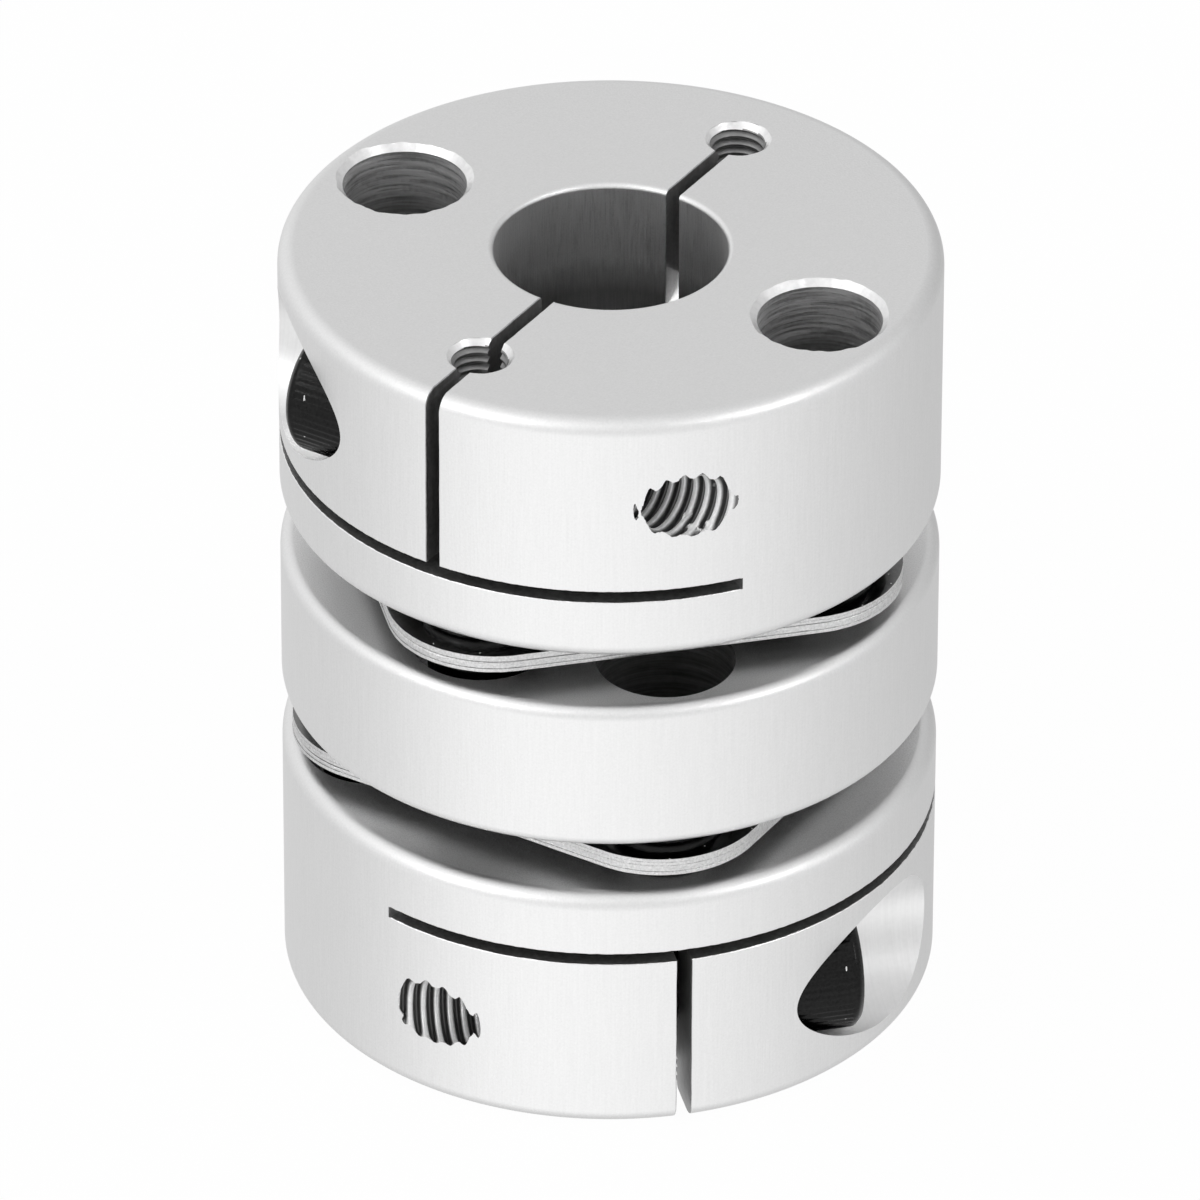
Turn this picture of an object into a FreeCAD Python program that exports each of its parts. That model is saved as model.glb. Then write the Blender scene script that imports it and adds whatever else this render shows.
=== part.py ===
import FreeCAD, Part
import math
import os

# A double disc coupling for two shafts. Two identical clamping hubs grip the shafts.
# A loose ring floats between them, and a pack of thin spring steel leaves joins the
# ring to each hub. Each pack is bolted to its hub at two corners and to the ring at
# the other two, so the leaves bend to take up misalignment and still carry torque.
#
# Units are millimetres and degrees. +Z runs along the shafts. The origin is the centre
# of the lower hub's end face, which is the face that the coupling stands on. Angles
# turn about Z from -Y, where the lower hub is split, towards +X.

# Lengths along the axis
hub_length = 14.15
pack_gap = 3.05
ring_length = 8.4

# Turned blanks
outer_diameter = 34.0
hub_edge_round = 0.88
ring_edge_round = 0.68
bore_diameter = 12.0
ring_opening_diameter = 14.0
bore_chamfer = 0.25

# The upper hub is turned back by this much, so that the bolts of the two packs
# don't meet in the ring
twist_between_hubs = 45.0

# Clamping cuts: one straight down through the bore, one across under the jaws
jaw_height = 10.04
cross_cut_kerf = 0.64
split_kerf = 0.76
split_saw_radius = 16.8
cross_cut_start = -55.0
cross_cut_end = 100.0

# Clamp screw, M4 x 12, and the holes that it needs
clamp_thread = 4.0
clamp_screw_length = 12.0
clamp_head_diameter = 7.0
clamp_head_height = 4.0
clamp_hexagon = 3.0
clamp_hexagon_depth = 2.0
clamp_edge_distance = 5.1
clamp_screw_height = 5.2
clamp_seat_distance = 6.06
pocket_clearance = 0.4
jaw_hole_clearance = 0.25

# Pack bolts, M3 x 6, and the holes that they need
pack_thread = 3.0
pack_bolt_length = 6.0
pack_head_diameter = 5.5
pack_head_height = 3.0
pack_hexagon = 2.5
pack_hexagon_depth = 1.3
pack_bolt_edge_distance = 4.55
hub_head_clearance = 0.45
ring_head_clearance = 0.7
access_chamfer = 0.35
tapped_chamfer = 0.2

# Fits and small edges that all the fasteners share
thread_clearance = 0.05
shank_clearance = 0.1
head_edge_chamfer = 0.35
tip_chamfer = 0.4

# Leaves of a pack, and the spacers above and below them
leaf_count = 5
leaf_thickness = 0.19
leaf_corner_radius = 5.5
leaf_lobe_margin = 4.25
leaf_opening_diameter = 16.0
spacer_diameter = 6.0
spacer_chamfer = 0.15

# Places that follow from the sizes above
outer_radius = outer_diameter / 2
bolt_circle_radius = outer_radius - pack_bolt_edge_distance
clamp_offset = outer_radius - clamp_edge_distance
lower_hub_top = hub_length
ring_bottom = lower_hub_top + pack_gap
ring_top = ring_bottom + ring_length
upper_hub_bottom = ring_top + pack_gap
total_length = upper_hub_bottom + hub_length
split_depth = jaw_height + cross_cut_kerf / 2
spacer_thickness = (pack_gap - leaf_count * leaf_thickness) / 2

UP = FreeCAD.Vector(0, 0, 1)
DOWN = FreeCAD.Vector(0, 0, -1)
TO_POCKET = FreeCAD.Vector(1, 0, 0)
TO_THREAD = FreeCAD.Vector(-1, 0, 0)
ORIGIN = FreeCAD.Vector(0, 0, 0)


def at_angle(radius, angle, z=0.0):
    """The point at a radius from the axis, with its angle counted from -Y towards +X."""
    turn = math.radians(angle)
    return FreeCAD.Vector(radius * math.sin(turn), -radius * math.cos(turn), z)


def revolved(profile):
    """A solid of revolution about Z. The profile is a closed list of (radius, z) points,
    and a point written as (radius, z, "arc") is the middle of an arc."""
    points = [FreeCAD.Vector(point[0], 0, point[1]) for point in profile]
    edges = []
    index = 0
    while index < len(profile):
        start = points[index]
        following = (index + 1) % len(profile)
        if len(profile[following]) == 3:
            end = points[(index + 2) % len(profile)]
            edges.append(Part.Arc(start, points[following], end).toShape())
            index += 2
        else:
            edges.append(Part.makeLine(start, points[following]))
            index += 1
    face = Part.Face(Part.Wire(edges))
    return face.revolve(ORIGIN, UP, 360)


def turned_blank(length, opening_diameter, edge_round):
    """A disc with rounded rims and a chamfered opening, as it leaves the lathe."""
    opening = opening_diameter / 2
    lead = opening + bore_chamfer
    shoulder = outer_radius - edge_round
    bulge = edge_round * math.sqrt(0.5)
    return revolved([
        (opening, bore_chamfer),
        (lead, 0),
        (shoulder, 0),
        (shoulder + bulge, edge_round - bulge, "arc"),
        (outer_radius, edge_round),
        (outer_radius, length - edge_round),
        (shoulder + bulge, length - edge_round + bulge, "arc"),
        (shoulder, length),
        (lead, length),
        (opening, length - bore_chamfer),
    ])


def drilled(diameter, length, centre, chamfer=0.0):
    """A cutter for a hole that goes up from a face, with its mouth chamfered."""
    cutter = Part.makeCylinder(diameter / 2, length, centre, UP)
    if chamfer > 0:
        mouth = Part.makeCone(diameter / 2 + chamfer, diameter / 2, chamfer, centre, UP)
        cutter = cutter.fuse(mouth)
    return cutter


def split_cutter():
    """The saw's path down through the jaws. It comes in from the rim at full depth and
    stops with its round edge rising to the far tapped hole."""
    centre_drop = split_saw_radius - split_depth
    run = math.sqrt(split_saw_radius ** 2 - centre_drop ** 2)
    stop = bolt_circle_radius - run
    corner = FreeCAD.Vector(-split_kerf / 2, -outer_diameter, 0)
    straight = Part.makeBox(split_kerf, outer_diameter + stop, split_depth, corner)
    centre = FreeCAD.Vector(-split_kerf / 2, stop, -centre_drop)
    saw = Part.makeCylinder(split_saw_radius, split_kerf, centre, TO_POCKET)
    return straight.fuse(saw)


def cross_cutter():
    """The cut under the jaws: a slab whose straight inner edge is the chord between the
    two angles at which the cut reaches the rim."""
    half_sweep = math.radians(cross_cut_end - cross_cut_start) / 2
    middle_angle = (cross_cut_start + cross_cut_end) / 2
    chord_distance = outer_radius * math.cos(half_sweep)
    corner = FreeCAD.Vector(-outer_diameter, -outer_diameter, jaw_height)
    depth = outer_diameter - chord_distance
    slab = Part.makeBox(2 * outer_diameter, depth, cross_cut_kerf, corner)
    slab.rotate(ORIGIN, UP, middle_angle)
    return slab


def clamp_screw_cutter():
    """Pocket for the head, clearance through one jaw and a tapped hole in the other."""
    axis = FreeCAD.Vector(0, -clamp_offset, clamp_screw_height)
    seat = axis + TO_POCKET * clamp_seat_distance
    pocket_radius = clamp_head_diameter / 2 + pocket_clearance
    pocket = Part.makeCylinder(pocket_radius, outer_diameter, seat, TO_POCKET)
    passage_radius = clamp_thread / 2 + jaw_hole_clearance
    passage = Part.makeCylinder(passage_radius, clamp_seat_distance, axis, TO_POCKET)
    tapped_radius = clamp_thread / 2 + thread_clearance
    tapped = Part.makeCylinder(tapped_radius, outer_diameter, axis, TO_THREAD)
    return pocket.fuse([passage, tapped])


def hub():
    """One clamping hub. Its outer end is at z = 0 and its split faces -Y."""
    body = turned_blank(hub_length, bore_diameter, hub_edge_round)
    access = pack_head_diameter + 2 * hub_head_clearance
    tapped = pack_thread + 2 * thread_clearance
    cutters = [split_cutter(), cross_cutter(), clamp_screw_cutter()]
    for angle in (0, 180):
        centre = at_angle(bolt_circle_radius, angle)
        cutters.append(drilled(tapped, hub_length, centre, tapped_chamfer))
    for angle in (90, -90):
        centre = at_angle(bolt_circle_radius, angle)
        cutters.append(drilled(access, hub_length, centre, access_chamfer))
    for cutter in cutters:
        body = body.cut(cutter)
    return body


def centre_ring():
    """The ring between the packs. Each pack is bolted to it through two tapped holes, and
    two wider holes clear the heads of the bolts that hold the pack to its hub."""
    body = turned_blank(ring_length, ring_opening_diameter, ring_edge_round)
    tapped = pack_thread + 2 * thread_clearance
    relief = pack_head_diameter + 2 * ring_head_clearance
    for hub_angle in (0.0, -twist_between_hubs):
        for half_turn in (0, 180):
            relief_centre = at_angle(bolt_circle_radius, hub_angle + half_turn)
            body = body.cut(drilled(relief, ring_length, relief_centre))
            tapped_centre = at_angle(bolt_circle_radius, hub_angle + half_turn + 90)
            body = body.cut(drilled(tapped, ring_length, tapped_centre))
    body.translate(UP * ring_bottom)
    return body


def leaf(hub_angle, base):
    """One leaf: a square with round corners over the bolts, and a round opening."""
    reach = bolt_circle_radius + leaf_lobe_margin
    half_width = (reach - leaf_corner_radius) / math.sqrt(2) + leaf_corner_radius
    corner = FreeCAD.Vector(-half_width, -half_width, 0)
    plate = Part.makeBox(2 * half_width, 2 * half_width, leaf_thickness, corner)
    upright = [edge for edge in plate.Edges if edge.BoundBox.ZLength > leaf_thickness / 2]
    plate = plate.makeFillet(leaf_corner_radius, upright)
    plate.rotate(ORIGIN, UP, 45)
    plate = plate.cut(drilled(leaf_opening_diameter, leaf_thickness, ORIGIN))
    hole = pack_thread + 2 * shank_clearance
    for quarter_turn in range(4):
        centre = at_angle(bolt_circle_radius, 90 * quarter_turn)
        plate = plate.cut(drilled(hole, leaf_thickness, centre))
    plate.rotate(ORIGIN, UP, hub_angle)
    plate.translate(UP * base)
    return plate


def spacer(angle, base):
    """A round collar that keeps the flexing leaves off a hub, a ring or a bolt head."""
    hole = pack_thread / 2 + shank_clearance
    rim = spacer_diameter / 2
    collar = revolved([
        (hole, 0),
        (rim - spacer_chamfer, 0),
        (rim, spacer_chamfer),
        (rim, spacer_thickness - spacer_chamfer),
        (rim - spacer_chamfer, spacer_thickness),
        (hole, spacer_thickness),
    ])
    collar.translate(at_angle(bolt_circle_radius, angle, base))
    return collar


def socket_screw(thread, length, head_diameter, head_height, hexagon, hexagon_depth):
    """A socket head screw: the head stands on z = 0 and the shank hangs below it."""
    head = head_diameter / 2
    shank = thread / 2
    body = revolved([
        (0, -length),
        (shank - tip_chamfer, -length),
        (shank, tip_chamfer - length),
        (shank, 0),
        (head, 0),
        (head, head_height - head_edge_chamfer),
        (head - head_edge_chamfer, head_height),
        (0, head_height),
    ])
    floor = head_height - hexagon_depth
    corners = [at_angle(hexagon / math.sqrt(3), 60 * side, floor) for side in range(7)]
    socket = Part.Face(Part.makePolygon(corners)).extrude(UP * hexagon_depth)
    return body.cut(socket)


def placed(shape, position, direction):
    """A copy of a shape, with its own +Z turned to a direction and moved to a place."""
    copy = shape.copy()
    copy.Placement = FreeCAD.Placement(position, FreeCAD.Rotation(UP, direction))
    return copy


def lower_hub_frame(shape):
    """Pieces of the lower hub are already in place."""
    return shape


def upper_hub_frame(shape):
    """Pieces of the upper hub are turned end for end, raised, and twisted back."""
    shape.rotate(ORIGIN, FreeCAD.Vector(0, 1, 0), 180)
    shape.translate(UP * total_length)
    shape.rotate(ORIGIN, UP, -twist_between_hubs)
    return shape


def clamp_screw():
    """The screw that closes a hub's jaws, in the hub's own frame."""
    screw = socket_screw(clamp_thread, clamp_screw_length, clamp_head_diameter,
                         clamp_head_height, clamp_hexagon, clamp_hexagon_depth)
    seat = FreeCAD.Vector(clamp_seat_distance, -clamp_offset, clamp_screw_height)
    return placed(screw, seat, TO_POCKET)


def disc_pack(name, hub_angle, hub_face, ring_face):
    """The leaves, bolts and spacers between a hub's inner face and the ring."""
    bottom = min(hub_face, ring_face)
    pack_bottom = bottom + spacer_thickness
    pieces = {}
    for number in range(leaf_count):
        base = pack_bottom + number * leaf_thickness
        pieces[f"{name}_leaf_{number + 1}"] = leaf(hub_angle, base)
    pack_top = pack_bottom + leaf_count * leaf_thickness
    bolt = socket_screw(pack_thread, pack_bolt_length, pack_head_diameter,
                        pack_head_height, pack_hexagon, pack_hexagon_depth)
    for number in range(4):
        angle = hub_angle + 90 * number
        into_hub = number % 2 == 0
        head_face = ring_face if into_hub else hub_face
        head_is_above = head_face > bottom
        seat = at_angle(bolt_circle_radius, angle, head_face)
        direction = UP if head_is_above else DOWN
        washer_base = pack_top if head_is_above else bottom
        spacer_base = bottom if head_is_above else pack_top
        pieces[f"{name}_bolt_{number + 1}"] = placed(bolt, seat, direction)
        pieces[f"{name}_head_spacer_{number + 1}"] = spacer(angle, washer_base)
        pieces[f"{name}_seat_spacer_{number + 1}"] = spacer(angle, spacer_base)
    return pieces


def build():
    """Every piece of the coupling, by the name of its node."""
    pieces = {
        "lower_hub": lower_hub_frame(hub()),
        "upper_hub": upper_hub_frame(hub()),
        "centre_ring": centre_ring(),
        "lower_clamp_screw": lower_hub_frame(clamp_screw()),
        "upper_clamp_screw": upper_hub_frame(clamp_screw()),
    }
    pieces.update(disc_pack("lower", 0.0, lower_hub_top, ring_bottom))
    pieces.update(disc_pack("upper", -twist_between_hubs, upper_hub_bottom, ring_top))
    return pieces


os.makedirs("parts", exist_ok=True)
for node, shape in build().items():
    shape.exportStep(f"parts/{node}.step")
    print(node, len(shape.Solids), round(shape.Volume, 2), shape.isValid())
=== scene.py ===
# %% [markdown]
# A double disc coupling, dressed around its solids. The coupling joins two shafts: each clamping hub grips
# one shaft, and packs of thin spring steel leaves join the hubs to a loose ring. The solids fix every size.
# This script carves finer copies of them, with threads, saw cuts and burrs, and gives each surface the
# finish that its tool left: blasted and anodised outside, bored, drilled, sawn and tapped inside.

# %% Load the frame
import math
import time

import bmesh
import bpy
import numpy as np
from mathutils import Matrix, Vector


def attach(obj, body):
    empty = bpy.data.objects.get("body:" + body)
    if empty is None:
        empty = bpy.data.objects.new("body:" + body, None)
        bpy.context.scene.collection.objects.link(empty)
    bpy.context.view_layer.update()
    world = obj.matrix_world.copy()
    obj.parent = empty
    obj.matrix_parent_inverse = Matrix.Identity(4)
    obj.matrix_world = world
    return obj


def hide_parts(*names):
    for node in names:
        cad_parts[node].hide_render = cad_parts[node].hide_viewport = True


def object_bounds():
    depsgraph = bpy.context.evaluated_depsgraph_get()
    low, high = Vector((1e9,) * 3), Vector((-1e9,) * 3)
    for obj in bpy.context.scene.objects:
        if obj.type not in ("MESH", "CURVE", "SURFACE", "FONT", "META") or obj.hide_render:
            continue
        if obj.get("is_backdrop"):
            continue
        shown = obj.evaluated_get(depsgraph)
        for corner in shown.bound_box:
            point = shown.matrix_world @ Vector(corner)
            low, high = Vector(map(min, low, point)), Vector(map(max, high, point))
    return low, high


started = time.time()
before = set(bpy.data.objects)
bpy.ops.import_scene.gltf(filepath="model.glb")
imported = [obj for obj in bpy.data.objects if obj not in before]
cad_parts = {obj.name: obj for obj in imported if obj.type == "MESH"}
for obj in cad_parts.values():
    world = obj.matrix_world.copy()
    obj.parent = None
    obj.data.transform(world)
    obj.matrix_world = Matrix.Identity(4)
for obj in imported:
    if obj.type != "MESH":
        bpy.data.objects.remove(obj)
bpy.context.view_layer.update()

# %% [markdown]
# The sizes are in millimetres, because that is how a workshop thinks of them, and they are multiplied by
# MM when a mesh is made. Angles turn about Z from -Y, where the lower hub is split, towards +X. The upper
# hub is the same part as the lower one, turned end for end and twisted back by 45 degrees. M4 and M3 are
# the threads in the tapped holes: the radius of the crests, the radius of the roots and the pitch. The two
# starts say how far along its axis each clamp screw's thread is moved, as seen at the holes' mouths.

# %% Sizes of the coupling
MM = 0.001
TURN = 2 * math.pi
OUTER_RADIUS = 17.0
HUB_LENGTH = 14.15
GAP = 3.05
RING_LENGTH = 8.4
HUB_ROUND = 0.88
RING_ROUND = 0.68
BORE_RADIUS = 6.0
RING_OPENING = 7.0
BOLT_CIRCLE = 12.45
TWIST = -45.0
RING_BOTTOM = HUB_LENGTH + GAP
RING_TOP = RING_BOTTOM + RING_LENGTH
UPPER_FACE = RING_TOP + GAP
TOTAL = UPPER_FACE + HUB_LENGTH
LEAF = 0.19
SPACER = (GAP - 5 * LEAF) / 2
SCREW_OFFSET = 11.9
SCREW_HEIGHT = 5.2
SEAT = 6.06
LOWER_START = 0.64
UPPER_START = 0.5
LEAD = 0.28
ACCESS_RADIUS = 3.2
RELIEF_RADIUS = 3.58
POCKET_RADIUS = 3.9
PASSAGE_RADIUS = 2.25
M4 = (1.66, 2.04, 0.7)
M3 = (1.32, 1.53, 0.5)
LEAF_HOLE = 1.6
print("length", round(TOTAL, 3), "spacer", round(SPACER, 3))

# %% [markdown]
# Every new surface is a grid of points worked out as whole arrays. One function makes a mesh from such a
# grid: it joins neighbouring points into quads, closes the grid on itself where asked, and shuts open ends
# with a flat face. Blanks, cutters, screws and leaves all come from it.


# %% Grids to meshes
def grid_quads(rows, columns, close_rows, close_columns):
    """Corner numbers of the quads between neighbouring points of a rows x columns grid."""
    last_row = rows if close_rows else rows - 1
    last_column = columns if close_columns else columns - 1
    i, j = np.meshgrid(np.arange(last_row), np.arange(last_column), indexing="ij")
    i_next = (i + 1) % rows
    j_next = (j + 1) % columns
    here, there = i * columns, i_next * columns
    return np.stack([here + j, here + j_next, there + j_next, there + j], -1).reshape(-1, 4)


def grid_object(name, points, close_rows, close_columns, materials, band_slots=None, caps=False):
    """A mesh object from a grid of points in mm, shape (rows, columns, 3). band_slots gives the material
    slot of each band of quads between two rows. Caps are flat faces over the first and last row."""
    rows, columns = points.shape[:2]
    quads = grid_quads(rows, columns, close_rows, close_columns)
    return mesh_object(name, points, quads, caps, materials, band_slots)


def mesh_object(name, points, quads, caps, materials, band_slots=None):
    """A mesh object from a grid of points in mm and the corner numbers of its quads. The caps over the first
    and last row take the last band's slot."""
    rows, columns = points.shape[:2]
    faces = quads.tolist()
    if caps:
        faces.append(list(range(columns))[::-1])
        faces.append(list(range((rows - 1) * columns, rows * columns)))
    mesh = bpy.data.meshes.new(name)
    mesh.from_pydata((points.reshape(-1, 3) * MM).tolist(), [], faces)
    for material in materials:
        mesh.materials.append(material)
    if band_slots is not None:
        per_band = len(quads) // len(band_slots)
        slots = np.repeat(np.asarray(band_slots, dtype=np.int32), per_band)
        slots = np.concatenate([slots, np.full(len(faces) - len(quads), slots[-1], dtype=np.int32)])
        mesh.polygons.foreach_set("material_index", slots)
    mesh.update()
    thing = bpy.data.objects.new(name, mesh)
    bpy.context.collection.objects.link(thing)
    return thing


def point_outwards(thing, merge=None):
    """Makes all faces of a closed mesh point outwards. Points closer than a distance are merged first."""
    shell = bmesh.new()
    shell.from_mesh(thing.data)
    if merge:
        bmesh.ops.remove_doubles(shell, verts=shell.verts, dist=merge)
    bmesh.ops.recalc_face_normals(shell, faces=shell.faces)
    shell.to_mesh(thing.data)
    shell.free()


def values_of(items, key, size=1, kind=np.float32):
    """One property of all the items of a mesh: an array with one row for each item."""
    values = np.empty(len(items) * size, dtype=kind)
    items.foreach_get(key, values)
    return values.reshape(-1, size) if size > 1 else values


print("grid helpers ready")


# %% Points, turns and unevenness
def circle_angles(count):
    """Evenly spaced angles round a full turn, without the last one."""
    return np.arange(count) * TURN / count


def lathe_points(radius, height, angles):
    """Points of a profile carried round the Z axis. The radius and height may change with the angle."""
    radius = np.broadcast_to(radius, (len(radius), len(angles)))
    height = np.broadcast_to(height, (len(height), len(angles)))
    return np.stack([radius * np.sin(angles), -radius * np.cos(angles), height], -1)


def quarter_round(centre, radius, start, steps):
    """Points of a quarter circle about (radius, z) centre, counter-clockwise from a start angle."""
    angle = math.radians(start) + np.linspace(0, math.pi / 2, steps)
    return np.stack([centre[0] + radius * np.cos(angle), centre[1] + radius * np.sin(angle)], -1)


def moved(points, matrix, shift):
    """Points turned by a 3 x 3 matrix and then shifted."""
    return points @ np.asarray(matrix, dtype=float).T + np.asarray(shift, dtype=float)


def turn_about_z(degrees):
    """The matrix that turns about Z, so that -Y goes towards +X for a positive angle."""
    c = math.cos(math.radians(degrees))
    s = math.sin(math.radians(degrees))
    return np.array([[c, -s, 0], [s, c, 0], [0, 0, 1]])


def on_circle(radius, degrees, z=0.0):
    """The point at a radius and an angle from -Y towards +X."""
    a = math.radians(degrees)
    return np.array([radius * math.sin(a), -radius * math.cos(a), z])


def ragged(u, v, seed, length):
    """Smooth unevenness from about -1 to 1: sine waves of random direction and phase, summed. The longest
    is as given, and each next one is a little shorter."""
    random = np.random.default_rng(seed)
    total = np.zeros(np.broadcast(u, v).shape)
    for wave in range(7):
        heading = random.uniform(0, TURN)
        phase = random.uniform(0, TURN)
        step = length / 1.45 ** wave
        total += np.sin((u * np.cos(heading) + v * np.sin(heading)) * TURN / step + phase)
    return total / 3


UPRIGHT = np.eye(3)
ALONG_X = np.array([[0, 0, 1], [0, 1, 0], [-1, 0, 0]])
UPSIDE_DOWN = np.diag([1, -1, -1])
END_FOR_END = np.diag([-1, 1, -1])
UPPER_MATRIX = turn_about_z(TWIST) @ END_FOR_END
UPPER_SHIFT = np.array([0, 0, TOTAL])
print("upper hub's turn", UPPER_MATRIX.round(3).tolist())

# %% [markdown]
# The finishes. Blasted and anodised aluminium is a rough metal whose tone comes from what is around it, so
# its grain is only a small change of roughness, colour and slope. One node group makes that grain for all
# the metals: a fine even speckle, mixed with streaks. A streak is noise whose coordinates are squeezed along
# one axis: squeezing Z draws it out along the shaft, and squeezing X and Y lays it in rings round a drill's
# path. Turn swings the pattern to the clamp screw of either hub.


# %% Shader helpers
def link(tree, start, end):
    """Wires one socket to another, or gives it a constant."""
    if isinstance(start, bpy.types.NodeSocket):
        tree.links.new(start, end)
    else:
        end.default_value = start


def node(tree, kind, **values):
    """A node of a shader tree, with its plain properties set."""
    made = tree.nodes.new(kind)
    for key, value in values.items():
        setattr(made, key, value)
    return made


def fill(tree, made, values):
    """Gives a node's inputs their values in turn, each a constant or a socket to wire to it."""
    for socket, value in zip(made.inputs, values):
        link(tree, value, socket)
    return made


def maths(tree, operation, *values):
    """The result of a maths node."""
    return fill(tree, node(tree, "ShaderNodeMath", operation=operation), values).outputs[0]


def vectors(tree, operation, *values):
    """The vector and the number that a vector maths node gives."""
    return fill(tree, node(tree, "ShaderNodeVectorMath", operation=operation), values).outputs


def ramp(tree, value, start, end, first, last):
    """A number that goes from first to last while the value goes from start to end."""
    return fill(tree, node(tree, "ShaderNodeMapRange"), (value, start, end, first, last)).outputs["Result"]


def mixed(tree, kind, share, first, second, blend="MIX"):
    """Two numbers or two colours, mixed by a share."""
    made = node(tree, "ShaderNodeMix", data_type=kind, blend_type=blend)
    link(tree, share, made.inputs["Factor"])
    link(tree, first, made.inputs["A"])
    link(tree, second, made.inputs["B"])
    return made.outputs["Result"]


def grey(tone):
    """The colour with one tone in all its channels."""
    return tone, tone, tone, 1


def place_of(tree):
    """The point's own coordinates, in metres."""
    return node(tree, "ShaderNodeTexCoord").outputs["Object"]


def new_group(name, inputs, output):
    """An empty node group with inputs of these defaults, None for a vector, and one output."""
    group = bpy.data.node_groups.new(name, "ShaderNodeTree")
    for key, value in inputs.items():
        kind = "NodeSocketVector" if value is None else "NodeSocketFloat"
        socket = group.interface.new_socket(key, in_out="INPUT", socket_type=kind)
        if value is not None:
            socket.default_value = value
    group.interface.new_socket(output, in_out="OUTPUT", socket_type="NodeSocketFloat")
    return group, node(group, "NodeGroupInput").outputs, node(group, "NodeGroupOutput").inputs[output]


def noise(tree, vector, scale, detail):
    """Noise at a place, scale and detail."""
    made = node(tree, "ShaderNodeTexNoise")
    link(tree, vector, made.inputs["Vector"])
    link(tree, scale, made.inputs["Scale"])
    link(tree, detail, made.inputs["Detail"])
    return made.outputs["Fac"]


print("shader helpers ready")


# %% The grain group
def grain_group():
    """Node group: object coordinates in, a tone from 0 to 1 out."""
    defaults = {"Scale": 9.0, "Squeeze": None, "Streaks": 0.5, "Turn": 0.0}
    group, source, sink = new_group("metal_grain", defaults, "Tone")
    place = place_of(group)
    scale = maths(group, "MULTIPLY", source["Scale"], 1000.0)
    swung = node(group, "ShaderNodeVectorRotate", rotation_type="Z_AXIS")
    link(group, place, swung.inputs["Vector"])
    link(group, source["Turn"], swung.inputs["Angle"])
    squeezed = vectors(group, "MULTIPLY", swung.outputs[0], source["Squeeze"])[0]
    speckle = noise(group, place, scale, 3.0)
    streak = noise(group, squeezed, scale, 2.0)
    link(group, mixed(group, "FLOAT", source["Streaks"], speckle, streak), sink)
    return group


GRAIN = grain_group()
print("group", GRAIN.name)

# %% [markdown]
# Dust shows on the dark pieces as a few tiny pale specks. Its group scatters them with a Voronoi pattern
# seen from above: a speck sits at the middle of a cell, if the cell's random number is low enough.


# %% The dust group
def dust_group():
    """Node group: a mask that is 1 on a speck and 0 elsewhere."""
    group, source, sink = new_group("dust", {"Spacing": 1.0, "Size": 0.04, "Share": 0.3}, "Mask")
    cells = node(group, "ShaderNodeTexVoronoi", voronoi_dimensions="2D")
    link(group, place_of(group), cells.inputs["Vector"])
    link(group, maths(group, "DIVIDE", 1000.0, source["Spacing"]), cells.inputs["Scale"])
    number = node(group, "ShaderNodeSeparateColor")
    link(group, cells.outputs["Color"], number.inputs[0])
    near = maths(group, "LESS_THAN", cells.outputs["Distance"], source["Size"])
    chosen = maths(group, "LESS_THAN", number.outputs[0], source["Share"])
    link(group, maths(group, "MULTIPLY", near, chosen), sink)
    return group


DUST = dust_group()
print("group", DUST.name)

# %% [markdown]
# Each metal is a Principled shader with the grain in its colour, roughness and bump. The numbers say how
# coarse the grain is, how it is drawn out, and how far it changes the tone. Fresh cuts are brighter and
# smoother than the blasted skin, and the walls of holes show the rings or streaks of their tool.

# %% The metals
EVEN = (1, 1, 1)
LENGTHWAYS = (1, 1, 0.04)
RINGS = (0.08, 0.08, 2.0)
SCREW_RINGS = (2.0, 0.08, 0.08)


def metal(name, colour, roughness, scale, squeeze, streaks, contrast, bump, turn=0.0, dusty=False):
    """A metal whose colour and roughness wander by the contrast with the grain, and whose surface is
    raised by the grain by up to bump mm. A dusty one has pale specks."""
    material = bpy.data.materials.new(name)
    material.use_nodes = True
    tree = material.node_tree
    shader = tree.nodes["Principled BSDF"]
    link(tree, 1.0, shader.inputs["Metallic"])
    grain = node(tree, "ShaderNodeGroup", node_tree=GRAIN)
    fill(tree, grain, (scale, squeeze, streaks, math.radians(turn)))
    tone = ramp(tree, grain.outputs["Tone"], 0.25, 0.75, 1 - contrast, 1 + contrast)
    colour = mixed(tree, "RGBA", 1.0, grey(colour), tone, "MULTIPLY")
    bumps = node(tree, "ShaderNodeBump")
    link(tree, bump * MM, bumps.inputs["Distance"])
    link(tree, maths(tree, "MULTIPLY", tone, roughness), shader.inputs["Roughness"])
    link(tree, grain.outputs["Tone"], bumps.inputs["Height"])
    link(tree, bumps.outputs["Normal"], shader.inputs["Normal"])
    if dusty:
        mask = node(tree, "ShaderNodeGroup", node_tree=DUST).outputs["Mask"]
        colour = mixed(tree, "RGBA", mask, colour, grey(0.8))
        link(tree, maths(tree, "SUBTRACT", 1.0, mask), shader.inputs["Metallic"])
    link(tree, colour, shader.inputs["Base Color"])
    return material


print("grain patterns", EVEN, LENGTHWAYS, RINGS, SCREW_RINGS)

# %% [markdown]
# Little light reaches the bottom of a groove or the depth of a hole, and what a metal wall mirrors there is
# dark. That shade is painted into the metal's colour: the colour gets darker with a measure of the place,
# so the painted shade stays the same under any light.


# %% Painted shade in grooves and depths
def paint_shade(material, measure, start, end, darkest):
    """Paints shade into a metal's colour where a measure in mm goes from start to end, down to a share of
    its colour.
    """
    tree = material.node_tree
    shader = tree.nodes["Principled BSDF"]
    plain = shader.inputs["Base Color"].links[0].from_socket
    mask = ramp(tree, measure, start * MM, end * MM, 1.0, darkest)
    link(tree, mixed(tree, "RGBA", 1.0, plain, mask, "MULTIPLY"), shader.inputs["Base Color"])


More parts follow.
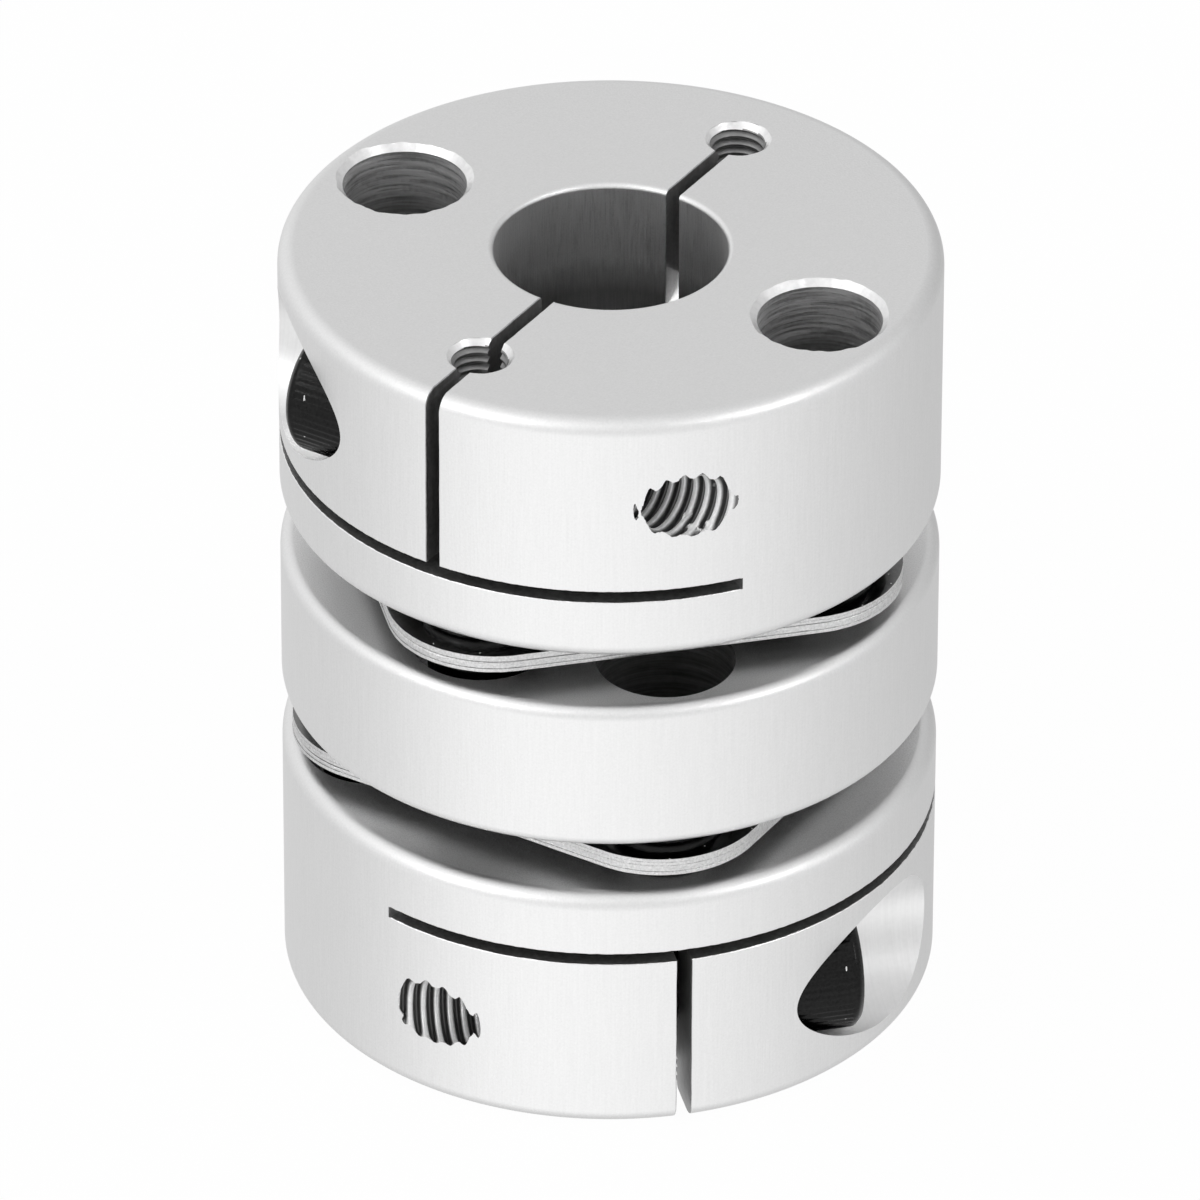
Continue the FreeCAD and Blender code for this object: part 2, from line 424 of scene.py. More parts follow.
def paint_groove_shade(material, at, along):
    """Paints shade into a thread's grooves, which see little light, and dulls its torn crests. The measure
    is the distance from the screw's axis, through a point in mm along a direction."""
    tree = material.node_tree
    offset = vectors(tree, "SUBTRACT", place_of(tree), tuple(np.asarray(at) * MM))[0]
    across = vectors(tree, "CROSS_PRODUCT", offset, tuple(along))[0]
    far = vectors(tree, "LENGTH", across)[1]
    groove = M4[0] + 0.03
    paint_shade(material, far, groove, groove + 0.15, 0.2)
    dull = ramp(tree, far, groove * MM, (groove + 0.11) * MM, 0.25, 1.0)
    link(tree, dull, tree.nodes["Principled BSDF"].inputs["Metallic"])


def paint_depth_shade(material, start, end, darkest):
    """Paints shade into a hole's wall with the depth below the nearer end of the part, where less light
    comes in.
    The measure is the depth less half the length."""
    tree = material.node_tree
    parts = node(tree, "ShaderNodeSeparateXYZ")
    link(tree, place_of(tree), parts.inputs[0])
    middle = maths(tree, "SUBTRACT", parts.outputs["Z"], TOTAL / 2 * MM)
    inside = maths(tree, "MULTIPLY", maths(tree, "ABSOLUTE", middle), -1.0)
    paint_shade(material, inside, start - TOTAL / 2, end - TOTAL / 2, darkest)


# %% All the finishes
satin = metal("satin_aluminium", 0.92, 0.42, 9, LENGTHWAYS, 0.4, 0.05, 0.015)
faced = metal("faced_aluminium", 0.92, 0.42, 15, EVEN, 0.3, 0.13, 0.015)
bored = metal("bored_aluminium", 0.97, 0.38, 14, (1, 1, 0.05), 0.6, 0.2, 0.006)
# The bore's wall gets painted shade, from 4.2 to 6.4 mm below the nearer end, down to 0.44 of its colour.
paint_depth_shade(bored, 4.2, 6.4, 0.44)
drilled = metal("drilled_aluminium", 0.97, 0.43, 4, RINGS, 0.8, 0.34, 0.012)
# The drilled holes get painted shade too, from 2.6 to 4.0 mm below the nearer end, and 0.55 of their colour
# deeper in, as in the ring.
paint_depth_shade(drilled, 2.6, 4.0, 0.55)
chamfered = metal("cut_chamfer", 0.97, 0.36, 3, EVEN, 0.5, 0.08, 0.002)
# The small threads are painted dark: their aluminium is darkened to stand in for the shade in the narrow
# tapped holes.
small_thread_painted_dark = metal("small_thread_painted_dark", 0.32, 0.45, 5, EVEN, 0.5, 0.1, 0.002)
sawn = metal("sawn_aluminium", 0.5, 0.45, 5, LENGTHWAYS, 0.4, 0.2, 0.01)
# The leaves' faces are painted dark: the bright rolled strip is darkened to stand in for the dark gap that
# it mirrors.
leaf_face_painted_dark = metal("spring_steel", 0.28, 0.14, 4, EVEN, 0.5, 0.08, 0.0004, dusty=True)
leaf_edge = metal("sheared_edge", 0.74, 0.42, 8, EVEN, 0.5, 0.2, 0.015)
black_oxide = metal("black_oxide_steel", 0.022, 0.32, 7, EVEN, 0.5, 0.25, 0.003, dusty=True)
# The spacers are painted nearly black as shade: their turned steel is darkened so that it mirrors little in
# the gaps.
spacer_painted_dark = metal("turned_spacer_painted_dark", 0.08, 0.22, 5, RINGS, 0.7, 0.1, 0.001)
print("materials", len(bpy.data.materials))

# %% [markdown]
# The blanks. A hub or a ring leaves the lathe as a profile turned about the axis: flat ends, rounded outer
# rims and a softly broken edge at the opening. The profile is closed, so the mesh is a closed ring with no
# poles.


# %% Turned blanks
def blank(name, low, high, opening, edge_round, low_face, around=360):
    """A turned ring from z = low to high. All its rims are quarter circles. The upper face is left as the
    lathe leaves it, and the lower face has the material slot given."""
    steps = 12
    soft = 6
    outer = OUTER_RADIUS - edge_round
    inner = opening + LEAD
    profile = np.concatenate([
        quarter_round((outer, low + edge_round), edge_round, -90, steps),
        quarter_round((outer, high - edge_round), edge_round, 0, steps),
        quarter_round((inner, high - LEAD), LEAD, 90, soft),
        quarter_round((inner, low + LEAD), LEAD, 180, soft),
    ])
    slots = np.zeros(len(profile), dtype=int)
    slots[2 * steps - 1] = 2
    slots[2 * steps + soft - 1] = 1
    slots[-1] = low_face
    points = lathe_points(profile[:, :1], profile[:, 1:], circle_angles(around))
    piece = grid_object(name, points, True, True, [satin, bored, faced], slots)
    point_outwards(piece)
    return piece


# %% [markdown]
# The cutters. A hole is cut by a bar whose radius is a function of the angle round it and of the height
# along it: constant for a drill, wider at the mouth for a countersink, and a helix for a tap. Cutting the
# tapped holes with a real helix gives them the scalloped mouths that threads have where they run out
# through a round wall.


# %% Bars and drills
def bar(name, height, radius, finish, matrix, shift, around=72):
    """A closed bar along its own Z. The height is a column of heights, or a grid with one column for each
    angle, and radius is a function of the angle and the height."""
    angles = circle_angles(around)
    height = np.broadcast_to(np.asarray(height, dtype=float).reshape(len(height), -1), (len(height), around))
    r = radius(np.broadcast_to(angles, height.shape), height)
    points = lathe_points(r, height, angles)
    materials, slots = finish if isinstance(finish, tuple) else ([finish], None)
    return grid_object(name, moved(points, matrix, shift), False, True, materials, slots, caps=True)


def plain_bar(name, low, high, radius, finish, matrix, shift, around):
    """A plain round bar between two heights."""
    return bar(name, [[low], [high]], lambda a, h: radius + 0 * a, finish, matrix, shift, around)


def drill(name, size, depth, mouth, at, seed):
    """A drill with a countersink at both ends. It goes up from z = 0. The first countersink's slope wanders
    about 45 degrees round the rim, as a hand-held tool leaves it."""
    around = 180
    angles = circle_angles(around)
    slope = 1 + 0.16 * ragged(size * np.cos(angles), size * np.sin(angles), seed, 6.0)
    far = mouth + 0.15
    height = np.array([-0.2, 0, mouth, depth - far, depth, depth + 0.2])[:, None]

    def radius(angle, height):
        return size + slope * np.clip(mouth - height, 0, None) + np.clip(height - depth + far, 0, None)

    return bar(name, height, radius, ([drilled, chamfered], [1, 1, 0, 1, 1]), UPRIGHT, at, around)


# %% Taps
def thread_wave(phase, crest, root):
    """Radius of a thread at a phase from 0 to 1 along its pitch: a flat crest, a slope to the root, a
    narrow root and the slope back."""
    rise = np.clip((np.abs(phase - 0.5) - 0.06) / 0.3, 0, 1)
    return root + (crest - root) * rise


def helix_quads(rows, columns, per_turn):
    """Corner numbers of a grid whose rows climb by one turn: the last column joins the first one a turn
    further on. Both ends are cut flat by the heights, so the last turn at the seam isn't needed."""
    i, j = np.meshgrid(np.arange(rows - 1), np.arange(columns), indexing="ij")
    climb = np.where(j == columns - 1, per_turn, 0)
    j_next = (j + 1) % columns
    low = (i + climb) * columns + j_next
    quads = np.stack([i * columns + j, low, low + columns, (i + 1) * columns + j], -1)
    return quads[i + climb < rows - 1]


def tap(name, low, high, thread, matrix, shift, finish, start=0.0, mouth=None, tear=None):
    """A tap: a bar whose rows climb with a right-handed helix, so that its crests are clean lines. The
    thread is a crest radius, a root radius and a pitch, and starts so many mm on. It can be countersunk by
    0.2 mm at the mouth height, and torn by a function of the points."""
    crest, root, pitch = thread
    around, per_turn = (84, 12) if tear else (48, 9)
    angles = circle_angles(around)
    first = math.floor((low + start) / pitch) * pitch - start
    steps = np.arange((math.ceil((high - low) / pitch) + 3) * per_turn) - per_turn
    height = first + steps[:, None] * pitch / per_turn + pitch * angles / TURN
    height = np.clip(height, low, high)
    angle = np.broadcast_to(angles, height.shape)
    r = thread_wave(np.mod((height + start) / pitch - angle / TURN, 1.0), crest, root)
    if tear:
        r = tear(angle, height, r)
    if mouth is not None:
        r = np.maximum(r, root + 0.2 - np.abs(height - mouth))
    points = lathe_points(r, height, angles)
    quads = helix_quads(len(height), around, per_turn)
    thing = mesh_object(name, moved(points, matrix, shift), quads, True, [finish, chamfered])
    if mouth is not None:
        lean = np.abs(height.ravel()[quads].mean(1) - mouth) < 0.3
        slots = np.concatenate([lean, [False, False]]).astype(np.int32)
        thing.data.polygons.foreach_set("material_index", slots)
    point_outwards(thing, 1e-8)
    return thing


print("M4 thread depth", round(M4[1] - M4[0], 3))

# %% [markdown]
# Where a tap breaks out through the round wall it tears the metal. The tear is a function that changes the
# tap's radius before it cuts.

# %% Torn mouths
TORN_RADIUS = 1.85


def torn_mouth(bottom, chips, seed):
    """How a burr changes the M4 thread where it breaks out through the wall. The grooves are smeared half
    shut on the side that the bottom angle names, the rim is nibbled, and chips of metal lie in the
    grooves: each is an angle, a height, a size and a thickness."""

    def tear(angle, height, r):
        y = -SCREW_OFFSET - r * np.cos(angle)
        below = OUTER_RADIUS - np.hypot(height, y)
        side = np.exp(-((np.mod(angle - bottom + math.pi, TURN) - math.pi) / 0.75) ** 2)
        shut = (0.3 + 0.4 * side) * np.clip(1 - below / 0.4, 0, 1)
        torn = M4[0] + (r - M4[0]) * (1 - shut)
        rim = np.exp(-(below / 0.08) ** 2)
        torn = torn + 0.03 * rim * ragged(TORN_RADIUS * angle, height, seed, 0.5)
        for chip_angle, chip_height, size, thick in chips:
            across = TORN_RADIUS * (np.mod(angle - chip_angle + math.pi, TURN) - math.pi)
            along = height - chip_height
            away = np.hypot(across, along) * (1 + 0.25 * ragged(across, along, seed + 9, 0.4))
            torn = torn - thick * np.clip(1.6 - 1.6 * away / size, 0, 1)
        return np.clip(torn, 1.6, 2.15)

    return tear


# %% [markdown]
# The saw cuts. The split is a slab as thick as the saw, whose far end is the round run-out of the blade. The
# cross cut is a slab whose floor is a chord. A saw leaves a small burr, which the blasting wears to a bright
# narrow bevel, so the slabs widen by a few hundredths of a millimetre where they come within that depth of
# the skin. The depth below the skin is the distance to the wall, to the end face, or to the rim's arc.


# %% The split
def depth_below_skin(radius, z):
    """Distance of a point below the hub's turned skin, in mm, from its radius and height."""
    wall = OUTER_RADIUS - radius
    corner = HUB_ROUND - np.hypot(np.maximum(HUB_ROUND - wall, 0), np.maximum(HUB_ROUND - z, 0))
    return np.where((wall < HUB_ROUND) & (z < HUB_ROUND), corner, np.minimum(wall, z))


def spans(*pieces):
    """One array from (start, end, steps) pieces, each without its own end."""
    parts = [np.linspace(start, end, steps, endpoint=False) for start, end, steps in pieces]
    return np.concatenate(parts + [[pieces[-1][1]]])


SAW_HALF = 0.38
SAW_DEPTH = 10.36
SAW_RADIUS = 16.8
BURR_TOP = 7.05
BURR_END = 7.3
BURR_SLOPE = 1.24


def split_cutter(seed):
    """The saw's path through the jaws. Its edge is the run-out of a round saw: a circle about a point below
    the slab's floor. Beyond the bore a torn burr stands on it, as a short ramp."""
    drop = SAW_RADIUS - SAW_DEPTH
    stop = BOLT_CIRCLE - math.sqrt(SAW_RADIUS ** 2 - drop ** 2)
    far = stop + math.sqrt(SAW_RADIUS ** 2 - (drop - 1.0) ** 2)
    y = spans((-20, -17.3, 1), (-17.3, -16.9, 12), (-16.9, -16.1, 12), (-16.1, -6.15, 30), (-6.15, -5.9, 6),
              (-5.9, stop, 3), (stop, 5.9, 16), (5.9, 6.15, 6), (6.15, far, 36))
    arc = np.sqrt(np.maximum(SAW_RADIUS ** 2 - (y - stop) ** 2, 0)) - drop
    top = np.where(y < stop, SAW_DEPTH, arc)
    burr = (y > 6.0) & (y < BURR_END)
    top = np.where(burr, np.minimum(top, BURR_TOP - BURR_SLOPE * (y - 6.0)), top)
    rim = 0.92
    low = spans((-1.0, -0.05, 1), (-0.05, 0.12, 7), (0.12, rim, 16))
    share = np.linspace(0, 1, 14)[1:]
    high = rim + (np.maximum(top, -0.9) - rim)[:, None] * share
    z = np.concatenate([np.broadcast_to(low, (len(y), len(low))), high], axis=1)
    z = np.minimum(z, top[:, None])
    yy = np.broadcast_to(y[:, None], z.shape)
    bevel = np.clip(0.045 - depth_below_skin(np.abs(yy), z), 0, 0.3)
    bevel = np.maximum(bevel, np.clip(0.03 - (np.abs(yy) - BORE_RADIUS), 0, 0.03))
    wall = SAW_HALF + bevel
    left = np.stack([-wall + 0.008 * ragged(yy, z, seed, 2.5), yy, z], -1)
    right = np.stack([wall + 0.008 * ragged(yy, z, seed + 1, 2.5), yy, z], -1)
    points = np.concatenate([left, right[:, ::-1]], axis=1)
    return grid_object("cut_split", points, False, True, [sawn], None, caps=True)


print("run-out's centre below the floor", round(SAW_RADIUS - SAW_DEPTH, 2))

# %% The cross cut
CROSS_LOW = 10.04
CROSS_HIGH = 10.68
CROSS_MIDDLE = 22.5
CROSS_SPREAD = 77.5


def cross_cutter(seed):
    """The cut under the jaws: a slab whose floor is the chord between its two ends."""
    chord = OUTER_RADIUS * math.cos(math.radians(CROSS_SPREAD))
    x = np.linspace(-19, 19, 90)
    y = np.linspace(-19, -chord, 26)
    xx, yy = np.meshgrid(x, y, indexing="ij")
    floor = np.stack([xx, yy, CROSS_LOW + 0.008 * ragged(xx, yy, seed, 3.0)], -1)
    roof = np.stack([xx, yy, CROSS_HIGH + 0.008 * ragged(xx, yy, seed + 1, 3.0)], -1)
    points = np.concatenate([floor, roof[:, ::-1]], axis=1)
    points = moved(points, turn_about_z(CROSS_MIDDLE), (0, 0, 0))
    return grid_object("cut_cross", points, False, True, [sawn], None, caps=True)


def cross_bevel_cutter(seed):
    """A V groove round the wall, a little wider than the cross cut, that leaves its two bright bevels. Its
    profile is a triangle with its tip inside the wall."""
    reach = CROSS_SPREAD - 0.4
    angles = np.radians(np.linspace(CROSS_MIDDLE - reach, CROSS_MIDDLE + reach, 420))
    middle = (CROSS_LOW + CROSS_HIGH) / 2
    opening = (CROSS_HIGH - CROSS_LOW) / 2 + 0.04 + 0.012 * ragged(OUTER_RADIUS * angles, 0, seed, 1.6)
    tip = OUTER_RADIUS - opening
    outside = 0 * tip + OUTER_RADIUS + 0.3
    radius = np.stack([tip, outside, outside])
    height = np.stack([0 * tip, -(opening + 0.3), opening + 0.3]) + middle
    points = lathe_points(radius, height, angles).transpose(1, 0, 2)
    return grid_object("cut_bevel", points, False, True, [chamfered], None, caps=True)


# %% [markdown]
# Carving takes all the cutters of a piece away from its blank in one exact boolean, because cutting one
# after the other can tear a mesh as fine as a thread. The long faces beside a cut would shade unevenly with
# normals averaged over their corners, so the turned skin gets the normals of its own formula.


# %% Carving
def solved(piece):
    """Replaces an object's mesh by what its modifiers make of it."""
    graph = bpy.context.evaluated_depsgraph_get()
    mesh = bpy.data.meshes.new_from_object(piece.evaluated_get(graph))
    old = piece.data
    piece.modifiers.clear()
    piece.data = mesh
    bpy.data.meshes.remove(old)


def carve(piece, cutters):
    """Cuts all the cutters out of a piece at once, and the new faces take the cutters' materials."""
    box = bpy.data.collections.new("cutters")
    for cutter in cutters:
        point_outwards(cutter)
        box.objects.link(cutter)
    cut = piece.modifiers.new("cut", "BOOLEAN")
    cut.operation = "DIFFERENCE"
    cut.solver = "EXACT"
    cut.operand_type = "COLLECTION"
    cut.collection = box
    cut.material_mode = "TRANSFER"
    solved(piece)
    for cutter in cutters:
        bpy.data.objects.remove(cutter)
    bpy.data.collections.remove(box)


def smooth_shaded(piece, sharp=28.0):
    """Smooth shading that breaks at edges sharper than an angle."""
    piece.data.polygons.foreach_set("use_smooth", np.ones(len(piece.data.polygons), dtype=bool))
    piece.data.set_sharp_from_angle(angle=math.radians(sharp))


def finished(thing, replaced, sharp=28.0):
    """A piece that stands for a CAD node: shaded, riding on the body, with the node hidden. A piece that is
    shaded already has no angle."""
    if sharp is not None:
        smooth_shaded(thing, sharp)
    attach(thing, "root")
    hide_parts(replaced)


# %% Exact normals and places
def exact_skin(piece, low, high, opening, edge_round):
    """Gives the turned skin its exact normals, so that the long faces beside a cut shade evenly. A normal
    points from the nearest point of the profile drawn in by the rim's radius. The skin has the first three
    materials."""
    mesh = piece.data
    normals = values_of(mesh.corner_normals, "vector", 3)
    vertex = values_of(mesh.loops, "vertex_index", kind=np.int32)
    places = values_of(mesh.vertices, "co", 3)[vertex] / MM
    sides = values_of(mesh.polygons, "loop_total", kind=np.int32)
    skin = np.repeat(values_of(mesh.polygons, "material_index", kind=np.int32) < 3, sides)
    radius = np.hypot(places[:, 0], places[:, 1])
    outer = radius > (OUTER_RADIUS + opening) / 2
    rim = np.where(outer, edge_round, LEAD)
    drawn_in = np.minimum(radius, OUTER_RADIUS - edge_round)
    inner_r = np.where(outer, drawn_in, np.maximum(radius, opening + LEAD))
    inner_z = np.clip(places[:, 2], low + rim, high - rim)
    out_r = (radius - inner_r) / radius
    exact = np.stack([out_r * places[:, 0], out_r * places[:, 1], places[:, 2] - inner_z], -1)
    exact /= np.maximum(np.linalg.norm(exact, axis=1), 1e-9)[:, None]
    close = skin & ((exact * normals).sum(1) > 0.9)
    normals[close] = exact[close]
    mesh.normals_split_custom_set(normals.tolist())


def transformed(thing, matrix, shift):
    """Moves an object's mesh points, given in mm."""
    points = values_of(thing.data.vertices, "co", 3).astype(float) / MM
    points = moved(points, matrix, shift) * MM
    thing.data.vertices.foreach_set("co", points.astype(np.float32).ravel())
    thing.data.update()


# %% [markdown]
# Each hub is carved from its own blank: the split, the cross cut, the clamp screw's pocket, its clearance
# and its thread, two wide holes for the heads and the key of the ring's bolts, and two small tapped holes
# for the hub's own. Those are threaded only as deep as the eye can see, and plain further in, which saves
# many faces. The hubs are alike, but a burr never falls the same way twice, so each gets its own.


# %% Carve the hubs
def bright_burr(hub):
    """Gives the burr in the split, which is freshly torn metal, the bright finish of the chamfers. It lies
    beyond the bore between the saw's two walls."""
    mesh = hub.data
    x, y, z = values_of(mesh.polygons, "center", 3).T / MM
    across = values_of(mesh.polygons, "normal", 3)[:, 0]
    slot = values_of(mesh.polygons, "material_index", kind=np.int32)
    burr = (np.abs(x) < SAW_HALF - 0.01) & (y > 5.9) & (y < BURR_END) & (z > 4.5) & (z < BURR_TOP + 0.2)
    burr = burr & (np.abs(across) < 0.5)
    slot[burr] = mesh.materials.find(chamfered.name)
    mesh.polygons.foreach_set("material_index", slot)


def carved_hub(name, matrix, shift, seed, bottom, chips, start):
    """A hub, carved in its own frame, with its outer end at z = 0, its split towards -Y and its pocket
    towards +X, and then put in place."""
    axis = np.array([0, -SCREW_OFFSET, SCREW_HEIGHT])
    along = matrix @ np.array([1.0, 0, 0])
    turn = -math.degrees(math.atan2(along[1], along[0]))
    milled = metal(name + "_pocket", 0.89, 0.34, 4, SCREW_RINGS, 0.6, 0.05, 0.002, turn)
    passage = metal(name + "_passage", 0.6, 0.3, 3, SCREW_RINGS, 0.8, 0.2, 0.006, turn)
    tapped = metal(name + "_thread", 0.97, 0.42, 5, EVEN, 0.5, 0.08, 0.002)
    # The M4 thread's grooves get painted shade.
    paint_groove_shade(tapped, matrix @ axis + shift, along)
    hub = blank(name + "_finish", 0, HUB_LENGTH, BORE_RADIUS, HUB_ROUND, 0)
    tear = torn_mouth(bottom, chips, seed)
    cutters = [
        split_cutter(seed),
        cross_cutter(seed + 2),
        cross_bevel_cutter(seed + 4),
        plain_bar("cut_pocket", SEAT, 20, POCKET_RADIUS, milled, ALONG_X, axis, 160),
        plain_bar("cut_passage", 0, SEAT + 0.5, PASSAGE_RADIUS, passage, ALONG_X, axis, 64),
        tap("cut_m4", -14.9, 0.1, M4, ALONG_X, axis, tapped, start, tear=tear),
    ]
    threaded = 5.0
    for angle in (0, 180):
        at = on_circle(BOLT_CIRCLE, angle)
        cutters.append(tap("cut_m3", -0.6, threaded, M3, UPRIGHT, at, small_thread_painted_dark, mouth=0.0))
        cutters.append(plain_bar("cut_tapped", threaded - 0.1, 14.7, M3[1], small_thread_painted_dark, UPRIGHT, at, 48))
    for angle in (90, -90):
        at = on_circle(BOLT_CIRCLE, angle)
        cutters.append(drill("cut_access", ACCESS_RADIUS, HUB_LENGTH, 0.35, at, seed + angle + 200))
    carve(hub, cutters)
    bright_burr(hub)
    smooth_shaded(hub)
    exact_skin(hub, 0, HUB_LENGTH, BORE_RADIUS, HUB_ROUND)
    transformed(hub, matrix, shift)
    return hub


LOWER_CHIPS = [(2.6, -13.4, 0.22, 0.3)]
UPPER_CHIPS = [(4.07, -11.3, 0.26, 0.3), (4.36, -11.65, 0.22, 0.3), (4.09, -12.45, 0.22, 0.25),
               (4.34, -12.25, 0.2, 0.3), (3.0, -12.4, 0.12, 0.15)]
lower = carved_hub("lower_hub", UPRIGHT, np.zeros(3), 31, math.radians(90), LOWER_CHIPS, LOWER_START)
upper = carved_hub("upper_hub", UPPER_MATRIX, UPPER_SHIFT, 52, math.radians(270), UPPER_CHIPS, UPPER_START)
finished(lower, "lower_hub", None)
finished(upper, "upper_hub", None)
print("hub faces", len(lower.data.polygons), len(upper.data.polygons))
print("hubs", round(time.time() - started, 1), "s")

# %% [markdown]
# The ring floats between the packs. Every other corner of a pack is screwed to it, so each of its faces has
# two tapped holes, and two wide ones that leave room for the heads of the bolts into the hub.


# %% Carve the ring
def carved_ring():
    """The centre ring: four wide holes over bolt heads and four tapped holes."""
    ring = blank("centre_ring_finish", RING_BOTTOM, RING_TOP, RING_OPENING, RING_ROUND, 2)
    cutters = []
    for pack in (0.0, TWIST):
        for half in (0, 180):
            at = on_circle(BOLT_CIRCLE, pack + half, RING_BOTTOM - 0.5)
            cutters.append(plain_bar("cut_relief", 0, RING_LENGTH + 1, RELIEF_RADIUS, drilled, UPRIGHT, at,
                                     128))
            at = on_circle(BOLT_CIRCLE, pack + half + 90, RING_BOTTOM)
            cutters.append(tap("cut_m3", -1, 9.4, M3, UPRIGHT, at, small_thread_painted_dark))
    carve(ring, cutters)
    smooth_shaded(ring)
    exact_skin(ring, RING_BOTTOM, RING_TOP, RING_OPENING, RING_ROUND)
    return ring


ring = carved_ring()
finished(ring, "centre_ring", None)
print("ring", len(ring.data.polygons), "faces", round(time.time() - started, 1), "s")

# %% [markdown]
# The leaves. Each is a rounded square with a round opening, punched from thin strip. Their sheared rims are
# slightly rounded, and where two leaves don't quite meet, a dark line shows between them. The lines differ
# from corner to corner, so their depths are listed by pack, by the leaf under the line and by the angle of
# the corner. No two leaves lie exactly over each other, and the two lowest sag a little at one corner.

# %% Leaf outline
LEAF_ROUND = 5.5
LEAF_CENTRE = 11.2
LEAF_OPENING = 8.0
LINES = {
    ("upper", 3): [(-45, 0.075), (45, 0.055)],
    ("upper", 4): [(45, 0.045)],
    ("lower", 1): [(0, 0.055)],
    ("lower", 2): [(-90, 0.07)],
}
SAG = {("lower", 1): 0.09, ("lower", 2): 0.08}


def away_from(angle, corner):
    """How far an angle is from a corner's, in degrees from -180 to 180."""
    return np.mod(angle - corner + 180, 360) - 180


def leaf_rim(pack, number, angle):
    """Radius of the rims on both sides of the line over a leaf, at angles round the axis."""
    rim = 0.008 + 0 * angle
    for corner, deep in LINES.get((pack, number), []):
        rim = rim + deep * np.exp(-(away_from(angle, corner) / 26) ** 2)
    return rim


def leaf_outline():
    """Centres and headings round the edge: quarter arcs over the bolts, joined by straight sides."""
    centres = []
    headings = []
    for corner in (0, 90, 180, 270):
        here = on_circle(LEAF_CENTRE, corner)[:2]
        there = on_circle(LEAF_CENTRE, corner + 90)[:2]
        share = np.linspace(0, 1, 30, endpoint=False)[:, None]
        centres += [np.broadcast_to(here, (90, 2)), here + (there - here) * share]
        headings += [np.linspace(corner - 45, corner + 45, 90, endpoint=False), np.full(30, corner + 45)]
    return np.concatenate(centres), np.radians(np.concatenate(headings))


print("points round a leaf", len(leaf_outline()[1]))


# %% The leaves
def leaf_piece(pack, number, turn, base):
    """One leaf as a closed grid: its rows go out along the lower face, up the edge and back in."""
    centres, headings = leaf_outline()
    outward = np.stack([np.sin(headings), -np.cos(headings)], -1)
    edge = centres + LEAF_ROUND * outward
    polar = np.arctan2(edge[:, 0], -edge[:, 1])
    round_axis = np.degrees(polar) + turn
    low = leaf_rim(pack, number - 1, round_axis)
    high = leaf_rim(pack, number, round_axis)
    flush = 0 * low
    rows = [(1.25 + flush, flush), (low, flush)]
    rows += [(low * (1 - np.sin(a)), low * (1 - np.cos(a))) for a in np.radians([30, 60, 90])]
    rows.append((flush, LEAF / 2 + flush))
    rows += [(high * (1 - np.cos(a)), LEAF - high * (1 - np.sin(a))) for a in np.radians([0, 30, 60, 90])]
    rows.append((1.25 + flush, LEAF + flush))
    inset, height = np.array(rows).transpose(1, 0, 2)
    along = 15.0 * np.broadcast_to(polar, inset.shape)
    rough = 0.006 * ragged(along, 4 * height, 400 + 10 * number + len(pack) + int(turn), 1.1)
    reach = LEAF_ROUND - inset - np.where(inset < 0.3, rough, 0)
    flat = centres + reach[..., None] * outward
    sag = SAG.get((pack, number), 0) * np.exp(-(away_from(round_axis, -90) / 24) ** 2)
    height = height - np.where(inset < 1, sag, 0)
    inner = LEAF_OPENING * np.stack([np.sin(polar), -np.cos(polar)], -1)
    flat = np.concatenate([inner[None], flat, inner[None]])
    height = np.concatenate([flush[None], height, LEAF + flush[None]])
    random = np.random.default_rng(number + len(pack) * 7 + int(abs(turn)))
    shift = np.array([*random.uniform(-0.022, 0.022, 2), base])
    points = moved(np.concatenate([flat, height[..., None]], -1), turn_about_z(turn), shift)
    slots = [0, 0] + [1] * (len(points) - 5) + [0, 0, 1]
    piece = grid_object(f"{pack}_leaf_{number}_finish", points, True, True, [leaf_face_painted_dark, leaf_edge], slots)
    point_outwards(piece)
    holes = []
    for corner in (0, 90, 180, 270):
        at = on_circle(BOLT_CIRCLE, corner + turn, base - 0.5)
        holes.append(plain_bar("cut_hole", 0, LEAF + 1, LEAF_HOLE, leaf_edge, UPRIGHT, at, 48))
    carve(piece, holes)
    finished(piece, f"{pack}_leaf_{number}", 50.0)


for pack, turn, pack_base in (("lower", 0.0, HUB_LENGTH + SPACER), ("upper", TWIST, RING_TOP + SPACER)):
    for number in range(1, 6):
        leaf_piece(pack, number, turn, pack_base + (number - 1) * LEAF)
print("leaves", round(time.time() - started, 1), "s")

# %% [markdown]
# The screws are black oxide steel with knurled heads. One grid makes each: its rows run from the bottom of
# the hexagon socket, over the head and its knurls, down the thread to the tip. The thread has the same wave
# and phase as the tapped hole that it sits in, a few hundredths smaller, so the two mesh.


